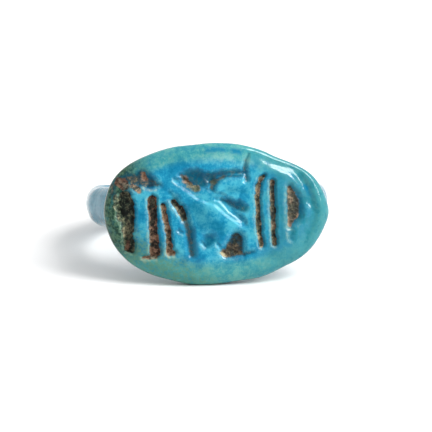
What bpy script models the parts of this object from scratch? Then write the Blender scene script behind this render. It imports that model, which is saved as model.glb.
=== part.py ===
"""A glazed faience finger ring with an oval bezel, lying loose on its side.

The ring is one fired piece: a round hoop, and a bent oval bezel luted to its front.
It is modelled upright in its own frame (x along the bezel, y from front to back,
z along the finger) and then leaned back until the lower edge of the bezel and the
back of the hoop both rest on the floor.
"""

import math

import bmesh
import bpy
from mathutils import Matrix, Vector

MM = 0.001

# Hoop
HOOP_RADIUS = 11.05 * MM
HOOP_THICKNESS = 2.0 * MM
HOOP_WIDTH = 3.6 * MM
SHOULDER_THICKNESS = 3.7 * MM
SHOULDER_WIDTH = 5.2 * MM
SHOULDER_START = math.radians(34)
SHOULDER_END = math.radians(74)
SHOULDER_COVER = 0.9 * MM
HOOP_STEPS = 64
SECTION_STEPS = 14
# The share of the hoop's thickness, from the finger hole, at which it is widest, how far the
# plain hoop sits above the middle of the shoulders, and how much further its outer crest does
HOOP_BELLY = 0.28
HOOP_LIFT = 0.2 * MM
CREST_LIFT = 0.25 * MM

# Bezel outline, seen from the front: half heights above and below the hoop's middle
BEZEL_LENGTH = 20.0 * MM
BEZEL_ABOVE = 6.08 * MM
BEZEL_BELOW = 6.5 * MM
EGG_TOP = 0.08
EGG_BOTTOM = 0.14
# Bearing, spread and height of each place where the outline swells or falls in
SWELLS = (
    (math.radians(20), math.radians(9), 0.26 * MM),
    (math.radians(21), math.radians(20), -0.20 * MM),
    (math.radians(42), math.radians(9), -0.18 * MM),
    (math.radians(110), math.radians(12), -0.10 * MM),
    (math.radians(158), math.radians(14), 0.22 * MM),
    (math.radians(232), math.radians(12), -0.18 * MM),
    (math.radians(306), math.radians(16), 0.30 * MM),
    (math.radians(329), math.radians(10), 0.34 * MM),
    (math.radians(341), math.radians(9), 0.14 * MM),
    (math.radians(357), math.radians(6), 0.12 * MM),
)
OUTLINE_STEPS = 72

# Bezel section, from the middle of the face to the middle of the back
BEZEL_FRONT = 12.4 * MM
BEZEL_THICKNESS = 2.4 * MM
BEND_RADIUS = 50.0 * MM
FIELD_INSET = 2.4 * MM
FIELD_DROP = 0.22 * MM
SIDE_DEPTH = 1.5 * MM
BACK_ROUND = 0.8 * MM
FIELD_SCALES = (0.78, 0.52, 0.26)
RIM_SHARES = (1.0, 0.66, 0.33, 0.0)
BACK_SCALES = (0.66, 0.33)
ROUND_STEPS = 3

# The rim has a trough towards the upper right and a bevel towards the lower left
TROUGH_BEARING = math.radians(55)
TROUGH_LEAST = 0.10 * MM
TROUGH_MORE = 0.23 * MM
TROUGH_DEEPEST = math.radians(24)
TROUGH_SPREAD = math.radians(34)
TROUGH_INSET = 0.5 * MM
TROUGH_END_INSET = 0.85 * MM
TROUGH_HALF_WIDTH = 0.5 * MM
BEVEL_DROP = 0.4 * MM
BEVEL_INSETS = (2.6 * MM, 0.2 * MM)
FRONT_ROUND = 1.1 * MM
FRONT_ROUND_LESS = 0.5 * MM
FRONT_ROUND_END = 0.3 * MM
END_SPREAD = math.radians(23)

# Sunk strokes on the face: start (x, z), end (x, z), bow, width at each end, depth
STROKES = {
    "left_gouge": ((-8.3, 2.0), (-7.65, -3.7), -0.1, (1.9, 1.1), 0.6),
    "left_bar": ((-5.85, 1.7), (-5.62, -4.0), 0.0, (0.95, 1.05), 0.4),
    "left_foot": ((-6.85, -3.93), (-5.4, -3.88), 0.0, (0.45, 0.55), 0.25),
    "left_thin": ((-4.95, 0.95), (-4.35, -3.95), 0.12, (0.55, 0.7), 0.34),
    "left_bow": ((-4.2, 1.25), (-2.35, -4.0), 0.5, (0.7, 0.75), 0.3),
    "upper_scar": ((-8.7, 2.7), (-4.9, 2.45), 0.4, (1.3, 1.0), 0.24),
    "upper_leaf": ((-3.6, 3.35), (-0.3, 3.0), -0.25, (1.5, 1.7), 0.36),
    "upper_strip": ((-0.9, 3.05), (2.55, 3.3), 0.05, (0.7, 0.45), 0.28),
    "upper_thin": ((-0.45, 1.8), (0.5, 3.15), 0.3, (0.65, 0.5), 0.24),
    "upper_tick": ((2.85, 5.2), (2.55, 2.5), -0.25, (0.35, 0.5), 0.26),
    "long_slant": ((-4.05, 2.95), (2.4, -1.35), 0.42, (1.05, 1.15), 0.22),
    "long_ledge": ((-0.35, 1.15), (2.2, -1.1), 0.32, (0.5, 0.55), 0.33),
    "short_slant": ((0.0, 1.2), (2.65, 0.35), 0.12, (0.6, 0.75), 0.24),
    "lower_wedge": ((1.7, -1.65), (0.85, -4.3), 0.0, (1.4, 2.4), 0.4),
    "lower_dimple": ((-0.95, -2.05), (-1.3, -3.2), 0.0, (0.95, 0.7), 0.2),
    "right_bow": ((4.2, 3.3), (3.85, -3.4), -0.5, (0.55, 0.6), 0.38),
    "right_bar": ((4.85, 2.8), (4.96, -3.25), 0.0, (0.62, 0.62), 0.38),
    "right_crescent": ((6.4, 2.35), (6.35, -1.85), 0.5, (1.6, 1.8), 0.42),
}
STROKE_STEPS = 9
STROKE_SIDES = 10

# Resting
FLAT_DEPTH = 0.08 * MM
FLOOR_BLOCK = 30.0 * MM

GLAZE_COLOUR = (0.03, 0.34, 0.46, 1.0)
GLAZE_ROUGHNESS = 0.25


def clear_scene():
    for obj in list(bpy.data.objects):
        bpy.data.objects.remove(obj, do_unlink=True)


def new_object(name, mesh_tool):
    """Turns a bmesh into a named object with outward normals."""
    bmesh.ops.recalc_face_normals(mesh_tool, faces=mesh_tool.faces)
    mesh = bpy.data.meshes.new(name)
    mesh_tool.to_mesh(mesh)
    mesh_tool.free()
    obj = bpy.data.objects.new(name, mesh)
    bpy.context.scene.collection.objects.link(obj)
    return obj


def new_cutter(name, mesh_tool):
    obj = new_object(name, mesh_tool)
    obj.hide_render = True
    obj.display_type = "WIRE"
    return obj


def add_boolean(target, tool, operation):
    modifier = target.modifiers.new(tool.name, "BOOLEAN")
    modifier.operation = operation
    modifier.object = tool
    modifier.solver = "EXACT"


def bridge_rings(mesh_tool, rings, closed):
    """Joins neighbouring rings of vertices with quads."""
    pairs = list(zip(rings, rings[1:]))
    if closed:
        pairs.append((rings[-1], rings[0]))
    for ring, following in pairs:
        for index in range(len(ring)):
            after = (index + 1) % len(ring)
            mesh_tool.faces.new((ring[index], ring[after], following[after], following[index]))


def cap_ring(mesh_tool, ring, point):
    tip = mesh_tool.verts.new(point)
    for index in range(len(ring)):
        mesh_tool.faces.new((ring[index], ring[(index + 1) % len(ring)], tip))


def bell(value):
    return math.exp(-(value**2))


def ease(value, low, high):
    """0 up to the low value, 1 from the high one on, and smooth between them."""
    share = min(1.0, max(0.0, (value - low) / (high - low)))
    return share * share * (3 - 2 * share)


def outline_point(turn):
    """A point (x, z) of the bezel's egg-shaped outline, with its soft corners."""
    above = math.sin(turn) > 0
    egg = EGG_TOP if above else EGG_BOTTOM
    half_height = BEZEL_ABOVE if above else BEZEL_BELOW
    x = BEZEL_LENGTH / 2 * math.cos(turn)
    z = half_height * math.sin(turn) * (1 - egg * math.cos(turn))
    reach = math.hypot(x, z)
    bearing = math.atan2(z, x)
    grown = reach
    for centre, spread, height in SWELLS:
        apart = math.remainder(bearing - centre, math.tau)
        grown += height * bell(apart / spread)
    return Vector((x, z)) * grown / reach


def outline_edges():
    """Points round the outline, each with the way to the middle that leads 1 inwards."""
    step = math.tau / OUTLINE_STEPS
    edges = []
    for index in range(OUTLINE_STEPS):
        turn = index * step
        edge = outline_point(turn)
        along = outline_point(turn + step / 4) - outline_point(turn - step / 4)
        square_on = Vector((-along.y, along.x)).normalized()
        to_middle = -edge.normalized()
        edges.append((edge, to_middle / to_middle.dot(square_on)))
    return edges


def bend(x):
    """How far the bent bezel falls back at x."""
    return BEND_RADIUS - math.sqrt(BEND_RADIUS**2 - x**2)


def bezel_point(point, depth):
    """Places (x, z) at a depth behind the frontmost sheet of the bezel."""
    return Vector((point.x, -BEZEL_FRONT + bend(point.x) + depth, point.y))


def toward_trough(bearing):
    """1 on the side of the rim that has the trough, and 0 on the opposite side."""
    return 0.5 + 0.5 * math.cos(bearing - TROUGH_BEARING)


def rim_depth(inset, bearing):
    """Extra depth of the face near its rim."""
    toward = toward_trough(bearing)
    middle = TROUGH_INSET + TROUGH_END_INSET * ease(math.cos(bearing), 0.88, 1.03)
    trough = TROUGH_LEAST + TROUGH_MORE * bell((bearing - TROUGH_DEEPEST) / TROUGH_SPREAD)
    trough *= bell((inset - middle) / TROUGH_HALF_WIDTH) * ease(toward, 0.2, 0.6)
    inner, outer = BEVEL_INSETS
    bevel = BEVEL_DROP * (1 - ease(toward, 0.1, 0.75)) * ease(-inset, -inner, -outer)
    return trough + bevel


def face_depth(point, inset):
    """Depth of the unmarked face at (x, z), which lies inset from the outline."""
    half_height = BEZEL_ABOVE if point.y > 0 else BEZEL_BELOW
    share = math.hypot(point.x / (BEZEL_LENGTH / 2), point.y / half_height)
    return FIELD_DROP * min(1.0, share) ** 2 + rim_depth(inset, math.atan2(point.y, point.x))


def front_ring(rim_share, angle):
    """Points round the front, first between the field and the rim, then over its round."""
    points = []
    for edge, inward in outline_edges():
        bearing = math.atan2(edge.y, edge.x)
        size = FRONT_ROUND - FRONT_ROUND_LESS * toward_trough(bearing)
        size += FRONT_ROUND_END * bell(bearing / END_SPREAD)
        inset = size + rim_share * (FIELD_INSET - size) - size * math.sin(angle)
        point = edge + inward * inset
        depth = face_depth(point, inset) + size * (1 - math.cos(angle))
        points.append(bezel_point(point, min(depth, SIDE_DEPTH)))
    return points


def back_ring(inset, scale, depth):
    points = []
    for edge, inward in outline_edges():
        points.append(bezel_point((edge + inward * inset) * scale, depth))
    return points


def make_bezel():
    mesh_tool = bmesh.new()
    rings = []

    def add_ring(points):
        rings.append([mesh_tool.verts.new(point) for point in points])

    field = [edge + inward * FIELD_INSET for edge, inward in outline_edges()]
    for scale in reversed(FIELD_SCALES):
        points = []
        for point in field:
            inset = FIELD_INSET + (1 - scale) * point.length
            points.append(bezel_point(point * scale, face_depth(point * scale, inset)))
        add_ring(points)
    for share in RIM_SHARES:
        add_ring(front_ring(share, 0))
    for index in range(ROUND_STEPS):
        add_ring(front_ring(0, math.pi / 2 * (index + 1) / ROUND_STEPS))
    for index in range(ROUND_STEPS + 1):
        angle = math.pi / 2 * index / ROUND_STEPS
        inset = BACK_ROUND * (1 - math.cos(angle))
        add_ring(back_ring(inset, 1, BEZEL_THICKNESS - BACK_ROUND * (1 - math.sin(angle))))
    for scale in BACK_SCALES:
        add_ring(back_ring(BACK_ROUND, scale, BEZEL_THICKNESS))

    bridge_rings(mesh_tool, rings, closed=False)
    cap_ring(mesh_tool, rings[0], bezel_point(Vector((0, 0)), 0))
    cap_ring(mesh_tool, rings[-1], bezel_point(Vector((0, 0)), BEZEL_THICKNESS))
    return new_object("faience_ring", mesh_tool)


def shoulder_swell(from_front):
    """1 behind the bezel, easing to 0 where the plain hoop begins."""
    return 1 - ease(from_front, SHOULDER_START, SHOULDER_END)


def room_behind_face(from_front):
    """The largest radius that stays covered by the bezel, or none past its ends."""
    if from_front > SHOULDER_END:
        return math.inf
    x = min(HOOP_RADIUS * math.tan(from_front), BEZEL_LENGTH / 2)
    return (BEZEL_FRONT - SHOULDER_COVER - bend(x)) / math.cos(from_front)


def make_hoop():
    """The hoop, whose section swells into shoulders towards the bezel at the front."""
    mesh_tool = bmesh.new()
    inner = HOOP_RADIUS - HOOP_THICKNESS
    rings = []
    for index in range(HOOP_STEPS):
        turn = math.tau * index / HOOP_STEPS
        from_front = abs(math.remainder(turn + math.pi / 2, math.tau))
        swell = shoulder_swell(from_front)
        thickness = HOOP_THICKNESS + (SHOULDER_THICKNESS - HOOP_THICKNESS) * swell
        thickness = min(thickness, room_behind_face(from_front) - inner)
        width = HOOP_WIDTH + (SHOULDER_WIDTH - HOOP_WIDTH) * swell
        belly = HOOP_BELLY + (0.5 - HOOP_BELLY) * swell
        ring = []
        for step in range(SECTION_STEPS):
            across = math.cos(math.tau * step / SECTION_STEPS)
            along = math.sin(math.tau * step / SECTION_STEPS)
            outwards = max(across, 0)
            reach = (1 - belly) * outwards + belly * min(across, 0)
            radius = inner + thickness * (belly + reach)
            lift = (HOOP_LIFT + CREST_LIFT * outwards) * (1 - swell)
            z = width / 2 * along + lift
            place = (radius * math.cos(turn), radius * math.sin(turn), z)
            ring.append(mesh_tool.verts.new(place))
        rings.append(ring)
    bridge_rings(mesh_tool, rings, closed=True)
    return new_cutter("hoop", mesh_tool)


def make_stroke(name, start, end, bow, widths, depth):
    """A long blunt-ended body sunk to its waist in the face."""
    mesh_tool = bmesh.new()
    start = Vector(start) * MM
    end = Vector(end) * MM
    aside = Vector((start.y - end.y, end.x - start.x)).normalized()
    rings = []
    for step in range(1, STROKE_STEPS):
        share = step / STROKE_STEPS
        blunt = math.sqrt(1 - (2 * share - 1) ** 4)
        middle = start.lerp(end, share) + aside * bow * MM * (1 - (2 * share - 1) ** 2)
        half_width = (widths[0] * (1 - share) + widths[1] * share) * MM / 2 * blunt
        ring = []
        for side in range(STROKE_SIDES):
            angle = math.tau * (side + 0.5) / STROKE_SIDES
            point = middle + aside * half_width * math.cos(angle)
            below = face_depth(middle, FIELD_INSET) + depth * MM * blunt * math.sin(angle)
            ring.append(mesh_tool.verts.new(bezel_point(point, below)))
        rings.append(ring)
    bridge_rings(mesh_tool, rings, closed=False)
    cap_ring(mesh_tool, rings[0], bezel_point(start, face_depth(start, FIELD_INSET)))
    cap_ring(mesh_tool, rings[-1], bezel_point(end, face_depth(end, FIELD_INSET)))
    return new_cutter(name, mesh_tool)


def apply_modifiers(obj):
    graph = bpy.context.evaluated_depsgraph_get()
    mesh = bpy.data.meshes.new_from_object(obj.evaluated_get(graph))
    obj.modifiers.clear()
    obj.data = mesh


def resting_lean(points):
    """The lean at which the front half and the back half of the ring are equally low."""
    front = [point for point in points if point.y < 0]
    back = [point for point in points if point.y >= 0]

    def lowest(half, lean):
        return min(point.z * math.cos(lean) - point.y * math.sin(lean) for point in half)

    low, high = 0.0, math.radians(30)
    while high - low > 1e-6:
        middle = (low + high) / 2
        if lowest(front, middle) < lowest(back, middle):
            low = middle
        else:
            high = middle
    return low


def lay_down(obj):
    """Leans the ring back onto the floor and puts the origin below its middle."""
    lean = resting_lean([vertex.co for vertex in obj.data.vertices])
    obj.data.transform(Matrix.Rotation(-lean, 4, "X"))
    low = Vector(min(vertex.co[axis] for vertex in obj.data.vertices) for axis in range(3))
    high = Vector(max(vertex.co[axis] for vertex in obj.data.vertices) for axis in range(3))
    middle = (low + high) / 2
    obj.data.transform(Matrix.Translation((-middle.x, -middle.y, -low.z - FLAT_DEPTH)))


def make_floor_block():
    """What lies below the floor, taken off to leave the two small flats."""
    mesh_tool = bmesh.new()
    bmesh.ops.create_cube(mesh_tool, size=FLOOR_BLOCK)
    bmesh.ops.translate(mesh_tool, verts=mesh_tool.verts, vec=(0, 0, -FLOOR_BLOCK / 2))
    return new_cutter("floor_block", mesh_tool)


def glaze_material():
    material = bpy.data.materials.new("turquoise_glaze")
    material.use_nodes = True
    shader = material.node_tree.nodes["Principled BSDF"]
    shader.inputs["Base Color"].default_value = GLAZE_COLOUR
    shader.inputs["Roughness"].default_value = GLAZE_ROUGHNESS
    shader.inputs["Metallic"].default_value = 0.0
    return material


def main():
    clear_scene()
    ring = make_bezel()
    add_boolean(ring, make_hoop(), "UNION")
    for name, stroke in STROKES.items():
        add_boolean(ring, make_stroke(name, *stroke), "DIFFERENCE")
    apply_modifiers(ring)
    lay_down(ring)
    add_boolean(ring, make_floor_block(), "DIFFERENCE")
    apply_modifiers(ring)
    ring.data.materials.clear()
    ring.data.materials.append(glaze_material())
    ring.data.shade_smooth()
    ring.data.set_sharp_from_angle(angle=math.radians(50))


main()
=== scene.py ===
"""Looks of the faience ring: its fine surface, its glaze, and a plain studio round it.

The ring's surface is the zero level of a function of space, `ring_field`, which is
built from the same sizes as the solid model, with finer relief added. It is meshed on
a grid wound round the finger hole, drawn exactly onto the surface, and laid down as
the solid lies.
"""

import itertools
import math
from typing import NamedTuple

import bmesh
import bpy
import numpy as np
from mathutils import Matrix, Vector


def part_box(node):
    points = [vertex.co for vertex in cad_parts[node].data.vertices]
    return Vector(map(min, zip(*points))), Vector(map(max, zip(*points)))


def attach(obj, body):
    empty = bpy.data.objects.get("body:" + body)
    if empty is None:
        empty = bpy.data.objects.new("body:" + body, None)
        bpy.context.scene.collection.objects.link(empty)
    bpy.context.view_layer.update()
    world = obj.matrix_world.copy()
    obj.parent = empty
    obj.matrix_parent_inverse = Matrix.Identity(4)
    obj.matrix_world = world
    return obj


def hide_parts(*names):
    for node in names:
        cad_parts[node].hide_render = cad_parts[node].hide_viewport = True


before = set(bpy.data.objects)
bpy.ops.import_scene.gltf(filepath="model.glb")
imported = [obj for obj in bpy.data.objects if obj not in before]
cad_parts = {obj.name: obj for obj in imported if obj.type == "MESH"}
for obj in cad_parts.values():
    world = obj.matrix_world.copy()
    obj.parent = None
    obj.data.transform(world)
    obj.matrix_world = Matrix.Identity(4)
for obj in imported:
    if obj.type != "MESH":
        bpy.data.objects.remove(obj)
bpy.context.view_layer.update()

MM = 0.001

# ----------------------------------------
# Sizes in millimetres, in the ring's own frame: x along the bezel, y from the
# front to the back, z along the finger.
# ----------------------------------------

HOOP_RADIUS = 11.05
HOOP_THICKNESS = 2.0
HOOP_WIDTH = 3.6
SHOULDER_THICKNESS = 3.7
SHOULDER_WIDTH = 5.2
SHOULDER_START = math.radians(34)
SHOULDER_END = math.radians(74)
SHOULDER_COVER = 0.9
SECTION_EXPONENT = 2.05
# The share of its thickness, from the finger hole, at which the hoop is widest
HOOP_BELLY = 0.28
# How far the hoop sits above the shoulders' middle, and how much further its crest does
HOOP_LIFT = 0.2
CREST_LIFT = 0.25

# The bezel's outline, from the front: half heights above and below the hoop's middle
BEZEL_LENGTH = 20.0
BEZEL_ABOVE = 6.08
BEZEL_BELOW = 6.5
EGG_TOP = 0.08
EGG_BOTTOM = 0.14
# Bearing and spread in degrees, and height, of each place where the outline swells or falls in
SWELLS = (
    (20, 9, 0.26),
    (21, 20, -0.20),
    (42, 9, -0.18),
    (110, 12, -0.10),
    (158, 14, 0.22),
    (232, 12, -0.18),
    (306, 16, 0.30),
    (329, 10, 0.34),
    (341, 9, 0.14),
    (357, 6, 0.12),
)

# The bezel's section, from the foremost point of its bent sheet to the middle of its back
BEZEL_FRONT = 12.4
BEZEL_THICKNESS = 2.4
BEND_RADIUS = 50.0
BEND_REACH = 16.0
FIELD_DROP = 0.22
BACK_ROUND = 0.8

# The rim has a trough towards the upper right and a bevel towards the lower left. Bearings
# are in radians. Spans run from where a thing starts to where it is full, as minus the inset
# from the outline.
TROUGH_BEARING = math.radians(55)
TROUGH_LEAST = 0.1
TROUGH_MORE = 0.3
TROUGH_DEEPEST = 0.3
TROUGH_SPREAD = 0.55
TROUGH_INSET = 0.5
TROUGH_HALF_WIDTH = 0.5
# How much further in the trough runs at the bezel's right end
TROUGH_END_INSET = 1.15
BEVEL_DROP = 0.4
BEVEL_SPAN = (-2.6, -0.2)
RIM_SPAN = (-2.2, -1.2)
FRONT_ROUND = 1.1
FRONT_ROUND_LESS = 0.5
FRONT_ROUND_END = 0.3
END_SPREAD = 0.4
# The face's relief counts this near to the face and this far outside the outline, and has
# one plain depth elsewhere
NEAR_FACE = (-0.8, 2.2)
NEAR_OUTLINE = 0.5
PLAIN_RELIEF = 0.3

# How softly hoop and bezel join, and the depth of the flats that the ring lies on
LUTING = 0.8
FLAT_DEPTH = 0.08


class Mark(NamedTuple):
    """A plain stroke, hollow or patch of deposit on the face. Lengths are in millimetres."""

    route: tuple  # (x, z, width) at each point that it passes
    depth: float
    wall: float = 0.24  # how far its sides take to go down
    ragged: float = 1.0
    crust: float = 1.0  # how much brown deposit lies in it
    thinning: float = 0.18  # how far the deposit takes to thin out at its edge
    # The deposit's tone is partly its own and partly painted light: by lean it is painted lighter
    # on the side away from the light, whose wall faces the light, and darker on the other
    tone: float = 0.45  # how light the deposit is, from 0 to 1
    lean: float = 0.28  # how much lighter it is on the side away from the light
    grit: float = 1.0  # how uneven its grains are
    rust: float = 0.35  # from grey-green at 0 to red-brown at 1
    # The pool's dark colour is partly glaze pooled in the mark and partly painted shade on its
    # walls that face away from the light
    pool: float = 0.8  # how dark the glaze pooled in it is
    # The thin pale glaze at a mark's edge is laid only on the side away from the light, whose wall
    # faces the light: partly a painted highlight
    lit_thin_glaze: float = 0.6  # how pale its thinly glazed edge is


def hollow(route, depth, wall, pool, ragged=1.0, lit_thin_glaze=0.0):
    """A mark with no deposit in it."""
    return Mark(route, depth, wall, ragged, crust=0.0, pool=pool, lit_thin_glaze=lit_thin_glaze)


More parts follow.
